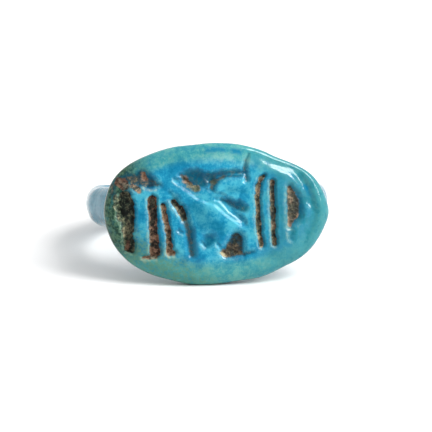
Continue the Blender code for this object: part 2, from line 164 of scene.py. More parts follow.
MARKS = {
    "left_gouge": Mark(
        (
            (-8.15, 1.45, 1.2), (-8.12, 0.8, 1.65), (-8.05, -0.2, 1.6), (-7.95, -1.4, 1.25),
            (-7.85, -3.1, 1.05),
        ),
        0.6, wall=0.4, ragged=2.2, thinning=0.2, tone=0.22, lean=0.12, grit=1.3, rust=0.05,
        pool=1.0, lit_thin_glaze=0.3,
    ),
    "gouge_floor": Mark(
        ((-7.95, -2.6, 0.5), (-7.95, -3.2, 0.5)),
        0.05, ragged=2.5, crust=0.8, tone=0.34, rust=1.1, pool=0.0, lit_thin_glaze=0.0,
    ),
    "gouge_vein": Mark(
        (
            (-9.0, 1.5, 0.5), (-8.85, 0.5, 0.55), (-8.4, -0.5, 0.45), (-8.3, -1.8, 0.35),
            (-8.25, -2.8, 0.35),
        ),
        0.0, wall=0.2, ragged=2.4, crust=1.0, thinning=0.25, tone=0.62, lean=0.05, grit=1.3,
        rust=0.1, pool=0.0, lit_thin_glaze=0.0,
    ),
    "left_bar": Mark(
        ((-5.82, 1.25, 0.95), (-5.75, -1.3, 0.86), (-5.64, -3.5, 1.04)),
        0.4, ragged=1.4, tone=0.27, lean=0.2, grit=1.5, rust=0.85, lit_thin_glaze=0.4,
    ),
    "bar_core": Mark(
        ((-5.75, 1.15, 0.5), (-5.75, 0.7, 0.45)),
        0.05, ragged=2.0, thinning=0.3, tone=0.2, lean=0.1, rust=0.2, pool=0.0, lit_thin_glaze=0.0,
    ),
    "left_foot": Mark(
        ((-6.65, -3.93, 0.42), (-5.6, -3.88, 0.55)), 0.25, ragged=1.5, tone=0.55, rust=0.9
    ),
    "thin_bar": Mark(
        ((-4.88, 0.65, 0.55), (-4.46, -1.5, 0.66), (-4.38, -3.4, 0.72)),
        0.34, ragged=1.4, tone=0.4, grit=1.2, rust=0.75, lit_thin_glaze=0.4,
    ),
    "thin_foot": Mark(((-4.4, -3.62, 0.65), (-4.05, -3.57, 0.6)), 0.35, tone=0.5, rust=0.8),
    "bow_halo": hollow(
        ((-4.3, 1.75, 0.5), (-3.85, 1.2, 0.9), (-3.1, 0.1, 0.95), (-2.7, -0.9, 0.8)),
        0.1, wall=0.4, pool=0.65,
    ),
    "bow_head": Mark(
        ((-3.95, 0.98, 0.62), (-3.4, 0.33, 0.8), (-3.02, -0.5, 0.7)),
        0.34, wall=0.3, tone=0.21, grit=1.3, rust=0.3, pool=1.0, lit_thin_glaze=0.3,
    ),
    "bow_lip": hollow(
        ((-4.3, 1.08, 0.3), (-3.98, 0.5, 0.34), (-3.62, -0.1, 0.3)),
        0.13, wall=0.14, ragged=0.5, pool=0.0, lit_thin_glaze=0.4,
    ),
    "bow_tail": Mark(
        ((-3.05, -0.3, 0.85), (-2.62, -1.7, 1.0), (-2.42, -3.7, 0.95)),
        0.24, wall=0.42, ragged=0.6, crust=0.55, thinning=0.5, tone=0.2, lean=0.12, grit=0.4,
        rust=0.1, pool=1.0, lit_thin_glaze=0.0,
    ),
    "worn_shade": Mark(
        (
            (-8.2, 3.1, 0.9), (-7.4, 3.0, 1.3), (-6.7, 3.05, 1.8), (-6.1, 2.75, 1.4),
            (-5.2, 2.5, 0.5),
        ),
        0.24, wall=0.5, ragged=2.0, crust=0.6, thinning=0.5, tone=0.26, rust=0.3, pool=1.0,
        lit_thin_glaze=0.2,
    ),
    # Its pale lip is partly a painted highlight, beside the real one from its wall
    "worn_edge": hollow(
        ((-6.45, 2.3, 0.34), (-5.45, 2.26, 0.36)), 0.16, wall=0.15, ragged=0.8, pool=0.2, lit_thin_glaze=0.9
    ),
    "worn_patch": Mark(
        ((-8.6, 2.9, 1.1), (-8.2, 2.6, 1.25)),
        0.14, wall=0.4, ragged=1.5, thinning=0.3, tone=0.23, grit=1.0, rust=1.2, pool=0.9,
        lit_thin_glaze=0.0,
    ),
    "worn_smear": Mark(
        ((-7.8, 2.5, 0.7), (-7.05, 2.2, 0.85)),
        0.12, wall=0.35, ragged=4.0, crust=0.75, thinning=0.35, tone=0.38, grit=1.7, rust=0.65,
        pool=0.8, lit_thin_glaze=0.2,
    ),
    "worn_rim": Mark(
        ((-9.3, 2.6, 0.7), (-9.25, 1.9, 0.6)),
        0.08, ragged=3.0, crust=0.6, thinning=0.4, tone=0.24, rust=0.3, pool=0.5, lit_thin_glaze=0.0,
    ),
    "worn_spot": Mark(
        ((-6.5, 3.5, 0.6), (-6.42, 3.15, 0.7)),
        0.12, wall=0.35, ragged=1.6, thinning=0.25, tone=0.35, rust=1.3, pool=1.0, lit_thin_glaze=0.0,
    ),
    "body_step": hollow(
        (
            (-3.8, 2.88, 0.45), (-2.8, 2.42, 0.9), (-1.5, 1.66, 1.3), (-0.75, 1.32, 1.3),
            (0.15, 1.04, 1.3), (1.0, 0.18, 1.3), (2.12, -1.0, 0.8),
        ),
        0.2, wall=0.22, ragged=0.5, pool=0.1,
    ),
    "step_head": hollow(
        ((-3.72, 2.82, 0.5), (-3.5, 2.62, 0.5)), 0.17, wall=0.27, ragged=0.5, pool=0.0, lit_thin_glaze=0.3
    ),
    "body_ledge": hollow(
        (
            (-0.2, 1.1, 0.42), (0.25, 1.05, 0.45), (0.6, 0.72, 0.6), (1.1, 0.1, 0.6),
            (2.05, -0.85, 0.5),
        ),
        0.26, wall=0.18, ragged=0.5, pool=0.1,
    ),
    "upper_leaf": Mark(
        (
            (-3.3, 3.2, 0.5), (-2.7, 3.08, 1.35), (-2.05, 2.92, 1.9), (-1.35, 2.78, 1.5),
            (-0.7, 2.95, 0.9),
        ),
        0.36, wall=0.42, ragged=0.8, crust=0.3, thinning=0.5, tone=0.4, rust=0.05, pool=1.0,
        lit_thin_glaze=0.1, grit=0.3,
    ),
    "leaf_streak": Mark(
        ((-3.15, 3.28, 0.7), (-2.85, 2.95, 1.05), (-2.4, 2.45, 1.1)),
        0.02, ragged=1.2, crust=0.9, thinning=0.55, tone=0.38, grit=0.9, rust=0.6, pool=0.3,
        lit_thin_glaze=0.0,
    ),
    "leaf_tan": Mark(
        ((-2.6, 2.32, 0.75), (-1.85, 2.15, 1.15)),
        0.02, ragged=1.2, crust=0.95, thinning=0.5, tone=0.56, grit=0.8, rust=0.2, pool=0.3,
        lit_thin_glaze=0.2,
    ),
    "leaf_strip": Mark(
        ((-0.8, 3.1, 1.0), (0.2, 3.32, 0.75), (1.3, 3.42, 0.6), (2.3, 3.42, 0.55)),
        0.28, wall=0.35, crust=0.3, pool=1.0, lit_thin_glaze=0.0, tone=0.3, rust=-0.1,
    ),
    "upper_thin": Mark(
        (
            (-0.5, 2.1, 0.85), (-0.4, 2.6, 1.05), (0.1, 2.95, 0.7), (0.5, 3.1, 0.55),
            (2.1, 3.15, 0.45),
        ),
        0.2, wall=0.35, ragged=1.2, crust=0.66, thinning=0.45, tone=0.36, lean=0.05, grit=0.5,
        rust=0.0, pool=1.0, lit_thin_glaze=0.1,
    ),
    "upper_tick": Mark(
        ((2.78, 4.95, 0.3), (2.5, 4.4, 0.42), (2.4, 3.7, 0.58), (2.55, 2.75, 0.52)),
        0.26, wall=0.35, crust=0.4, thinning=0.3, tone=0.28, rust=0.2, pool=1.0, lit_thin_glaze=0.0,
    ),
    "short_slant": Mark(
        ((0.3, 1.05, 0.5), (1.0, 0.84, 0.8), (1.7, 0.5, 1.0), (2.25, 0.2, 0.9)),
        0.15, wall=0.32, crust=0.35, thinning=0.4, tone=0.12, lean=0.0, rust=-0.3, pool=1.0,
        lit_thin_glaze=0.0,
    ),
    "faint_slant": hollow(
        ((1.3, -0.1, 0.35), (1.9, -0.6, 0.55), (2.5, -1.3, 0.4)), 0.06, wall=0.5, pool=0.7
    ),
    "wedge": Mark(
        ((1.6, -2.45, 1.6), (1.36, -3.2, 2.0), (0.58, -3.66, 1.15), (1.9, -3.7, 1.0)),
        0.34, wall=0.55, ragged=0.7, crust=0.72, thinning=0.45, tone=0.17, lean=0.25, grit=0.7,
        rust=0.1, pool=1.0, lit_thin_glaze=0.1,
    ),
    "wedge_fill": Mark(
        ((1.5, -2.85, 1.0), (1.15, -3.35, 1.7), (0.5, -3.64, 1.15), (1.75, -3.72, 0.95)),
        0.03, ragged=1.6, thinning=0.5, tone=0.22, lean=0.3, grit=0.9, rust=0.3, pool=0.0,
        lit_thin_glaze=0.2,
    ),
    "wedge_corner": Mark(
        ((0.18, -3.62, 0.4), (0.45, -3.86, 0.5)),
        0.02, ragged=1.5, thinning=0.25, tone=0.62, rust=0.25, pool=0.0, lit_thin_glaze=0.3,
    ),
    "wedge_tail": Mark(
        ((1.7, -3.86, 0.6), (2.3, -3.86, 0.62), (3.05, -3.66, 0.5)),
        0.14, wall=0.4, crust=0.6, thinning=0.4, tone=0.24, rust=0.2, pool=1.0, lit_thin_glaze=0.0,
    ),
    "dimple_left": hollow(
        ((-0.85, -2.45, 1.5), (-1.05, -2.9, 1.1)), 0.12, wall=0.65, ragged=0.5, pool=0.9
    ),
    "dimple_right": hollow(
        ((-0.8, -2.4, 0.9), (-0.3, -2.6, 0.7)), 0.08, wall=0.6, ragged=0.6, pool=0.7
    ),
    "dimple_lip_left": hollow(
        ((-1.58, -2.7, 0.34), (-1.24, -3.12, 0.34)),
        0.14, wall=0.16, ragged=0.6, pool=0.0, lit_thin_glaze=0.2,
    ),
    "dimple_lip_right": hollow(
        ((-0.24, -2.88, 0.34), (0.12, -3.3, 0.34)), 0.14, wall=0.16, ragged=0.6, pool=0.0, lit_thin_glaze=0.2
    ),
    "bow_notch": hollow(
        ((-3.55, -1.62, 0.36), (-3.3, -1.75, 0.36)),
        0.13, wall=0.16, ragged=0.6, pool=0.2, lit_thin_glaze=0.3,
    ),
    "right_bow": Mark(
        (
            (4.12, 3.08, 0.46), (3.84, 2.78, 0.56), (3.62, 2.25, 0.62), (3.53, 1.3, 0.64),
            (3.53, -0.6, 0.62), (3.63, -1.9, 0.62), (3.81, -3.1, 0.6),
        ),
        0.38, tone=0.44, grit=1.2, lit_thin_glaze=0.35, pool=0.55, wall=0.3, thinning=0.24, rust=0.45,
    ),
    "right_bar": Mark(
        ((4.85, 2.5, 0.62), (4.87, 0.0, 0.66), (4.95, -2.95, 0.62)),
        0.38, tone=0.28, grit=1.1, rust=0.35, lit_thin_glaze=0.45, pool=0.55, wall=0.3, thinning=0.24,
    ),
    "crescent": Mark(
        ((6.45, 2.0, 0.7), (6.95, 0.8, 1.8), (6.85, -0.5, 1.8), (6.4, -1.4, 0.8)),
        0.42, wall=0.7, crust=0.3, thinning=0.6, tone=0.16, lean=0.1, rust=-0.3, pool=1.0,
        lit_thin_glaze=0.35,
    ),
    "crescent_fill": Mark(
        ((6.45, 1.95, 0.7), (6.76, 0.8, 1.5), (6.7, -0.3, 1.5), (6.4, -1.3, 0.9)),
        0.04, ragged=1.2, thinning=0.45, tone=0.4, lean=0.22, grit=0.9, rust=0.6, pool=0.0,
        lit_thin_glaze=0.2,
    ),
    "crescent_trail": hollow(
        ((6.6, -0.9, 0.9), (6.45, -2.6, 0.6)), 0.14, wall=0.4, pool=0.5, lit_thin_glaze=0.35
    ),
    "pit": hollow(((8.72, 0.03, 0.16), (8.8, -0.02, 0.16)), 0.06, wall=0.1, pool=0.8),
    "thick_middle": hollow(
        ((-2.0, 0.3, 2.2), (-1.3, -0.9, 2.6), (0.2, -1.6, 1.6)), 0.0, wall=1.2, pool=0.5
    ),
    "thick_upper": hollow(((0.9, 1.9, 1.0), (2.4, 1.7, 0.9)), 0.0, wall=1.0, pool=0.55),
    "thick_right": hollow(
        ((5.4, 1.8, 1.2), (5.7, -0.5, 1.6), (5.6, -2.6, 1.2)), 0.0, wall=1.0, pool=0.3
    ),
}
# Away from the light on the face, as (x, z)
AWAY_FROM_LIGHT = (-0.76, -0.65)
# How far round a mark's route it is worked out, and how much a mark deepens one it crosses
MARK_MARGIN = 1.0
CROSSING_SHARE = 0.35
# Where a mark's wall starts and ends, in wall widths in from its edge
WALL_SPAN = (-0.5, 0.9)
# Middle and spread of the thin, pale glaze at a mark's edge, laid on its lit side: partly a
# painted highlight
PALE_EDGE = (0.05, 0.13)

# Where the glaze's tints fade in or out. Depths are minus the depth behind the bezel's sheet,
# insets are from its outline, and the rest is measured from the bezel's middle.
FACE_DEPTHS = (-2.0, -1.2)
FACE_INSETS = (-0.3, 0.0)
BEZEL_DEPTHS = (-3.2, -2.6)
RIM_INSETS = (0.7, 2.3)
RIM_MORE_BELOW = (0.3, 0.7)
BELOW_SPAN = (2.0, 5.0)
RIGHT_SPAN = (1.5, 7.0)
LEFT_SPAN = (5.4, 8.5)
LEFT_HEIGHTS = (-5.0, -2.4)
LOWER_EDGE_SPAN = (5.0, 8.0)
LOWER_EDGE_SLANT = 0.7
# The blue in the trough: its bearing, the cosines over which it fades in, and its inset,
# which grows towards the right end
BLUE_BEARING = math.radians(70)
BLUE_REACH = (-0.1, 0.4)
BLUE_INSET = 0.6
BLUE_END_INSET = 0.6
BLUE_SPREAD = 0.3
# Middle and spread of the painted highlight along the upper rim, where the rim's inner slope faces
# the light
BAND_BEARINGS = (1.35, 0.5)
BAND_INSETS = (1.35, 0.4)

# Unevenness, as (height, size of its lumps, seed) layers. The lumps' values come from a
# table, in which each place is looked up by mixing its steps along x, y and z.
LUMP_TABLE = 4096
LUMP_PRIMES = (73856093, 19349663, 83492791)
MARK_SWAY_X = ((0.05, 1.0, 13),)
MARK_SWAY_Z = ((0.05, 1.0, 14),)
MARK_WAVER = ((0.05, 0.5, 11), (0.03, 0.2, 12))
FACE_SWAY = ((0.035, 2.1, 1), (0.018, 0.9, 2))
DEPOSIT_GRAIN = ((0.06, 0.32, 3), (0.04, 0.16, 4))
RIM_WAVES = ((0.02, 0.55, 9),)
OUTLINE_SWAY = ((0.04, 1.7, 5),)
BACK_SWAY = ((0.04, 1.3, 6),)
HOOP_SWAY = ((0.05, 2.6, 8),)
HOOP_STREAKS = ((0.03, 1.0, 7),)

# Meshing: the grid's steps, which are finest over the bezel's face, and its reach
FINE_STEP = 0.066
PLAIN_STEP = 0.25
DEPTH_STEP = 0.12
FINE_REACH = math.radians(60)
FINE_FADE = 0.35
GRID_RADII = (8.7, 15.2)
GRID_HALF_WIDTH = 6.7
ANGLES_AT_ONCE = 64
# How points are drawn onto the surface
SLOPE_REACH = 0.03
LEAST_SLOPE = 0.05
LONGEST_MOVE = 0.15
# What lies further back from the face than this, or further out than this, is thinned out
KEPT_DEPTH = 1.5
KEPT_REACH = 10.8
TRIANGLES_KEPT = 190_000
WELD_REACH = 0.001
MOST_LEAN = math.radians(30)
LEAN_PRECISION = 1e-6


# ----------------------------------------
# Small tools on arrays
# ----------------------------------------


def smooth_step(value, low, high):
    share = np.clip((value - low) / (high - low), 0, 1)
    return share * share * (3 - 2 * share)


def bump_at(value, centre, spread):
    return np.exp(-(((value - centre) / spread) ** 2))


def smooth_union(first, second, reach):
    gap = np.clip(0.5 + 0.5 * (second - first) / reach, 0, 1)
    return second + (first - second) * gap - reach * gap * (1 - gap)


def lumps(x, y, z, size, seed):
    """Smooth random values from -1 to 1, in lumps about `size` across."""
    table = np.random.default_rng(seed).uniform(-1, 1, LUMP_TABLE).astype(np.float32)
    axes = []
    for values, prime in zip((x, y, z), LUMP_PRIMES):
        scaled = np.asarray(values, dtype=np.float64) / size
        whole = np.floor(scaled)
        share = (scaled - whole).astype(np.float32)
        share = share * share * (3 - 2 * share)
        key = whole.astype(np.int64)
        axes.append(((key * prime, 1 - share), ((key + 1) * prime, share)))
    total = 0
    for (key_x, near_x), (key_y, near_y), (key_z, near_z) in itertools.product(*axes):
        picked = (key_x ^ key_y ^ key_z) & (LUMP_TABLE - 1)
        total = total + table[picked] * near_x * near_y * near_z
    return total


def unevenness(x, y, z, layers):
    return sum(height * lumps(x, y, z, size, seed) for height, size, seed in layers)


# ----------------------------------------
# The bezel's outline and sheet
# ----------------------------------------


def outline_table(count=1440):
    """Bearing, reach and slope of the outline, for looking up by bearing."""
    turn = np.arange(count) * math.tau / count
    egg = np.where(np.sin(turn) > 0, EGG_TOP, EGG_BOTTOM)
    x = BEZEL_LENGTH / 2 * np.cos(turn)
    half = np.where(np.sin(turn) > 0, BEZEL_ABOVE, BEZEL_BELOW)
    z = half * np.sin(turn) * (1 - egg * np.cos(turn))
    bearing = np.arctan2(z, x)
    reach = np.hypot(x, z)
    for centre, spread, height in SWELLS:
        apart = np.remainder(bearing - math.radians(centre) + math.pi, math.tau) - math.pi
        reach = reach + height * bump_at(apart, 0, math.radians(spread))
    order = np.argsort(bearing)
    bearing, reach = bearing[order], reach[order]
    slope = np.gradient(reach, bearing) / reach
    return bearing, reach, 1 / np.sqrt(1 + slope**2)


OUTLINE = outline_table()


def outline_at(x, z):
    """(inset from the outline, share of the way out to it, bearing) at (x, z)."""
    bearing = np.arctan2(z, x)
    reach = np.interp(bearing, OUTLINE[0], OUTLINE[1], period=math.tau)
    cosine = np.interp(bearing, OUTLINE[0], OUTLINE[2], period=math.tau)
    distance = np.hypot(x, z)
    return (reach - distance) * cosine, distance / reach, bearing


def depth_behind(x, y):
    """How far (x, y) lies behind the bent sheet that holds the bezel's foremost parts."""
    across = np.clip(x, -BEND_REACH, BEND_REACH)
    return y - (-BEZEL_FRONT + BEND_RADIUS - np.sqrt(BEND_RADIUS**2 - across**2))


# ----------------------------------------
# The face
# ----------------------------------------


def mark_shape(x, z, route):
    """Distance from a mark's edge, negative inside, and the way out from its middle line."""
    far = 9.0
    edge, nearest = np.full_like(x, far), np.full_like(x, far)
    out_x, out_z, half = np.zeros_like(x), np.zeros_like(x), np.ones_like(x)
    for (x0, z0, width0), (x1, z1, width1) in itertools.pairwise(route):
        length = math.hypot(x1 - x0, z1 - z0)
        along = ((x - x0) * (x1 - x0) + (z - z0) * (z1 - z0)) / length**2
        share = np.clip(along, 0, 1)
        off_x, off_z = x - x0 - share * (x1 - x0), z - z0 - share * (z1 - z0)
        radius = (width0 + share * (width1 - width0)) / 2
        distance = np.hypot(off_x, off_z) - radius
        nearer = distance < nearest
        nearest = np.where(nearer, distance, nearest)
        out_x, out_z = np.where(nearer, off_x, out_x), np.where(nearer, off_z, out_z)
        half = np.where(nearer, radius, half)
        edge = smooth_union(edge, distance, 0.15)
    return edge, out_x / half, out_z / half


def ragged_shape(x, z, mark):
    """mark_shape with an uneven edge, and how far towards its shaded side each point lies."""
    level = np.zeros_like(x)
    swayed_x = x + unevenness(x, z, level, MARK_SWAY_X)
    swayed_z = z + unevenness(x, z, level, MARK_SWAY_Z)
    edge, out_x, out_z = mark_shape(swayed_x, swayed_z, mark.route)
    edge += unevenness(x, z, level, MARK_WAVER) * mark.ragged
    across = AWAY_FROM_LIGHT[0] * out_x + AWAY_FROM_LIGHT[1] * out_z
    return edge, across, across / np.maximum(np.hypot(out_x, out_z), 0.3)


def face_marks(x, z):
    """Depth cut by the marks, and the finish in them with its painted light and shade, as arrays
    by name.
    """
    most = {name: np.zeros_like(x) for name in ("depth", "pool", "crust", "lit_thin_glaze")}
    latest = {name: np.full_like(x, 0.4) for name in ("tone", "rust", "grit")}
    for mark in MARKS.values():
        route = np.array(mark.route)
        reach = route[:, 2].max() / 2 + MARK_MARGIN
        low, high = route.min(axis=0) - reach, route.max(axis=0) + reach
        near = np.flatnonzero((x > low[0]) & (x < high[0]) & (z > low[1]) & (z < high[1]))
        edge, across, side = ragged_shape(x[near], z[near], mark)

        depth = most["depth"][near]
        cut = mark.depth * smooth_step(-edge, *(share * mark.wall for share in WALL_SPAN))
        most["depth"][near] = np.maximum(depth, cut) + CROSSING_SHARE * np.minimum(depth, cut)

        # On the side towards the light, whose wall faces away from it, the deposit and the dark
        # pool reach further out: partly painted shade
        starts = -0.02 - 0.06 * side
        filled = mark.crust * smooth_step(-edge, starts, starts + mark.thinning)
        # The thin pale glaze lies only on the side away from the light, whose wall faces it:
        # partly a painted highlight
        finish = {
            "pool": mark.pool * smooth_step(-edge, -0.1 + 0.06 * side, 0.1 + 0.7 * mark.wall),
            "crust": filled,
            "lit_thin_glaze": mark.lit_thin_glaze * bump_at(edge, *PALE_EDGE) * smooth_step(side, -0.1, 0.8),
        }
        for name, value in finish.items():
            most[name][near] = np.maximum(most[name][near], value)

        over = smooth_step(filled, 0.05, 0.5)
        # Painted light and shade: the deposit is painted lighter towards the side away from the
        # light, whose wall faces it
        look = {"tone": mark.tone + mark.lean * across, "rust": mark.rust, "grit": mark.grit}
        for name, value in look.items():
            latest[name][near] += over * (value - latest[name][near])
    return most | latest


def toward_trough(bearing):
    """1 in the direction of the rim's trough, 0 in the opposite one."""
    return 0.5 + 0.5 * np.cos(bearing - TROUGH_BEARING)


def rim_shape(inset, bearing):
    """Extra depth of the face near the rim: a trough above and right, a bevel elsewhere."""
    toward = toward_trough(bearing)
    middle = TROUGH_INSET + TROUGH_END_INSET * smooth_step(np.cos(bearing), 0.88, 1.03)
    trough = TROUGH_LEAST + TROUGH_MORE * bump_at(bearing, TROUGH_DEEPEST, TROUGH_SPREAD)
    trough = trough * bump_at(inset, middle, TROUGH_HALF_WIDTH)
    trough *= smooth_step(toward, 0.2, 0.6)
    bevel = BEVEL_DROP * (1 - smooth_step(toward, 0.1, 0.75))
    return trough + bevel * smooth_step(-inset, *BEVEL_SPAN)


def face_relief(x, z, inset, share, bearing):
    """Depth of the finished face behind the bezel's bent sheet."""
    marks = face_marks(x, z)
    cut = marks["depth"]
    level = np.zeros_like(x)
    rough = smooth_step(cut, 0.15, 0.4) * smooth_step(marks["crust"], 0.3, 0.9)
    depth = FIELD_DROP * np.minimum(share, 1.2) ** 2 + rim_shape(inset, bearing)
    sway = unevenness(x, z, level, FACE_SWAY)
    grain = rough * unevenness(x, z, level, DEPOSIT_GRAIN)
    waves = unevenness(x, z, level, RIM_WAVES) * smooth_step(-inset, *RIM_SPAN)
    return depth + cut + sway + grain + waves


# ----------------------------------------
# The whole ring
# ----------------------------------------


def bezel_field(x, y, z):
    inset, share, bearing = outline_at(x, z)
    behind = depth_behind(x, y)
    near_face = (behind > NEAR_FACE[0]) & (behind < NEAR_FACE[1]) & (inset > -NEAR_OUTLINE)
    relief = np.full_like(x, PLAIN_RELIEF)
    relief[near_face] = face_relief(
        x[near_face], z[near_face], inset[near_face], share[near_face], bearing[near_face]
    )
    front_round = FRONT_ROUND - FRONT_ROUND_LESS * toward_trough(bearing)
    front_round = front_round + FRONT_ROUND_END * bump_at(bearing, 0, END_SPREAD)
    inset = inset + unevenness(x, y, z, OUTLINE_SWAY)
    front = np.hypot(
        np.maximum(front_round - inset, 0), np.maximum(front_round - (behind - relief), 0)
    )
    back_gap = BEZEL_THICKNESS - behind + unevenness(x, y, z, BACK_SWAY)
    back = np.hypot(np.maximum(BACK_ROUND - inset, 0), np.maximum(BACK_ROUND - back_gap, 0))
    return np.maximum(front - front_round, back - BACK_ROUND)


def hoop_field(x, y, z):
    radius = np.hypot(x, y)
    from_front = np.abs(np.arctan2(x, -y))
    swell = 1 - smooth_step(from_front, SHOULDER_START, SHOULDER_END)
    inner = HOOP_RADIUS - HOOP_THICKNESS

    # The shoulders grow until they would come through the bezel's face
    turn = np.minimum(from_front, 1.4)
    across = np.minimum(HOOP_RADIUS * np.tan(turn), BEZEL_LENGTH / 2)
    bent = BEND_RADIUS - np.sqrt(BEND_RADIUS**2 - across**2)
    room = (BEZEL_FRONT - SHOULDER_COVER - bent) / np.cos(turn)
    thickness = HOOP_THICKNESS + (SHOULDER_THICKNESS - HOOP_THICKNESS) * swell
    thickness = np.minimum(thickness, room - inner)
    width = HOOP_WIDTH + (SHOULDER_WIDTH - HOOP_WIDTH) * swell

    # The section is flat towards the finger and crowned outside
    belly = HOOP_BELLY + (0.5 - HOOP_BELLY) * swell
    outwards = radius - inner - thickness * belly
    out = np.where(outwards > 0, outwards / (1 - belly), -outwards / belly) / thickness
    crest = np.where(outwards > 0, np.minimum(out, 1), 0)
    lift = (HOOP_LIFT + CREST_LIFT * crest) * (1 - swell)
    along = np.abs(z - lift) / (width / 2)
    norm = (along**SECTION_EXPONENT + out**SECTION_EXPONENT) ** (1 / SECTION_EXPONENT)

    sway = unevenness(x, y, z, HOOP_SWAY)
    streaks = unevenness(from_front * 2.5, z * 2.2, radius * 0.5, HOOP_STREAKS)
    return (norm - 1) * thickness / 2 + sway + streaks


def ring_field(x, y, z):
    """Below zero inside the ring, above zero outside it, and about true distance near it."""
    return smooth_union(hoop_field(x, y, z), bezel_field(x, y, z), LUTING)


# ----------------------------------------
# Meshing
# ----------------------------------------

CORNERS = list(itertools.product((0, 1), repeat=3))


def grid_angles():
    """Angles round the finger hole from the front, fine over the bezel and plain behind."""
    fine = FINE_STEP / (BEZEL_FRONT + 0.5)
    plain = PLAIN_STEP / HOOP_RADIUS
    angles = [0.0]
    while angles[-1] < math.pi:
        blend = smooth_step(angles[-1], FINE_REACH, FINE_REACH + FINE_FADE)
        angles.append(angles[-1] + fine + (plain - fine) * float(blend))
    right = np.array(angles[:-1]) * math.pi / angles[-1]
    return np.concatenate([right, [math.pi], math.tau - right[:0:-1]])


def sample_field(angles, widths, radii):
    """ring_field at every point of a grid wound round the finger hole."""
    values = np.empty((len(angles), len(widths), len(radii)), np.float32)
    for first in range(0, len(angles), ANGLES_AT_ONCE):
        part = slice(first, first + ANGLES_AT_ONCE)
        turn, z, radius = np.meshgrid(angles[part], widths, radii, indexing="ij")
        x, y = radius * np.sin(turn), -radius * np.cos(turn)
        values[part] = ring_field(x.ravel(), y.ravel(), z.ravel()).reshape(x.shape)
    return values


def crossed_cells(inside):
    """The grid's cells with corners both inside and outside the ring, by their low corner."""
    rows, columns = inside.shape[1] - 1, inside.shape[2] - 1
    count = 0
    for a, b, c in CORNERS:
        turned = np.roll(inside, -a, axis=0)
        count = count + turned[:, b : b + rows, c : c + columns].astype(np.int8)
    return np.argwhere((count > 0) & (count < len(CORNERS)))


def places_in_cells(values, cells):
    """For each cell, the middle of where the surface crosses its edges, in grid steps."""
    corner_values = {}
    for corner in CORNERS:
        a, b, c = (cells + corner).T
        corner_values[corner] = values[a % len(values), b, c]
    place = np.zeros((len(cells), 3))
    crossings = np.zeros(len(cells))
    for low, axis in itertools.product(CORNERS, range(3)):
        if low[axis]:
            continue
        high = (*low[:axis], 1, *low[axis + 1 :])
        first, second = corner_values[low], corner_values[high]
        crossed = (first < 0) != (second < 0)
        share = np.where(crossed, first / np.where(crossed, first - second, 1), 0)
        spot = np.tile(np.array(low, float), (len(cells), 1))
        spot[:, axis] += share
        place[crossed] += spot[crossed]
        crossings += crossed
    return cells + place / crossings[:, None]


def quads_between(inside, index):
    """A quad of the four cells round each grid edge that the surface crosses."""
    quads = []
    for axis in range(3):
        span = [slice(None), slice(1, -1), slice(1, -1)]
        first_spot = np.array((0, 1, 1))
        if axis:
            span[axis] = slice(0, -1)
            first_spot[axis] = 0
        here, ahead = inside[tuple(span)], np.roll(inside, -1, axis)[tuple(span)]
        for flip, crossed in ((False, here & ~ahead), (True, ~here & ahead)):
            spots = np.argwhere(crossed) + first_spot
            corners = []
            for steps in ((-1, -1), (0, -1), (0, 0), (-1, 0)):
                offset = np.zeros(3, int)
                offset[(axis + 1) % 3], offset[(axis + 2) % 3] = steps
                a, b, c = (spots + offset).T
                corners.append(index[a % len(index), b, c])
            quad = np.stack(corners, axis=1)
            quads.append(quad[:, ::-1] if flip else quad)
    return np.concatenate(quads)


def mesh_level_set():
    """Vertices and quads of ring_field's zero level, one vertex in each cell it crosses."""
    angles = grid_angles()
    widths = np.arange(-GRID_HALF_WIDTH, GRID_HALF_WIDTH, FINE_STEP)
    radii = np.arange(*GRID_RADII, DEPTH_STEP)
    values = sample_field(angles, widths, radii)
    inside = values < 0
    cells = crossed_cells(inside)
    index = np.full((len(angles), len(widths) - 1, len(radii) - 1), -1, np.int64)
    index[tuple(cells.T)] = np.arange(len(cells))

    place = places_in_cells(values, cells)
    turn = np.interp(place[:, 0], np.arange(len(angles) + 1), np.append(angles, math.tau))
    z = np.interp(place[:, 1], np.arange(len(widths)), widths)
    radius = np.interp(place[:, 2], np.arange(len(radii)), radii)
    points = np.stack([radius * np.sin(turn), -radius * np.cos(turn), z], axis=1)
    return points, quads_between(inside, index)


def slope_of_field(points):
    slope = np.empty_like(points)
    for axis in range(3):
        step = np.zeros(3)
        step[axis] = SLOPE_REACH
        ahead = ring_field(*(points + step).T)
        behind = ring_field(*(points - step).T)
        slope[:, axis] = (ahead - behind) / (2 * SLOPE_REACH)
    return slope


def draw_onto_surface(points, rounds=3):
    for _ in range(rounds):
        slope = slope_of_field(points)
        steep = np.maximum((slope**2).sum(axis=1), LEAST_SLOPE)
        move = -(ring_field(*points.T) / steep)[:, None] * slope
        length = np.maximum(np.linalg.norm(move, axis=1), 1e-9)[:, None]
        points = points + move * np.minimum(1, LONGEST_MOVE / length)
    return points


def resting_lean(points):
    """The lean at which the front half and the back half of the ring are equally low."""
    front = points[points[:, 1] < 0]
    back = points[points[:, 1] >= 0]

    def lowest(half, lean):
        return (half[:, 2] * math.cos(lean) - half[:, 1] * math.sin(lean)).min()

    low, high = 0.0, MOST_LEAN
    while high - low > LEAN_PRECISION:
        middle = (low + high) / 2
        if lowest(front, middle) < lowest(back, middle):
            low = middle
        else:
            high = middle
    return low


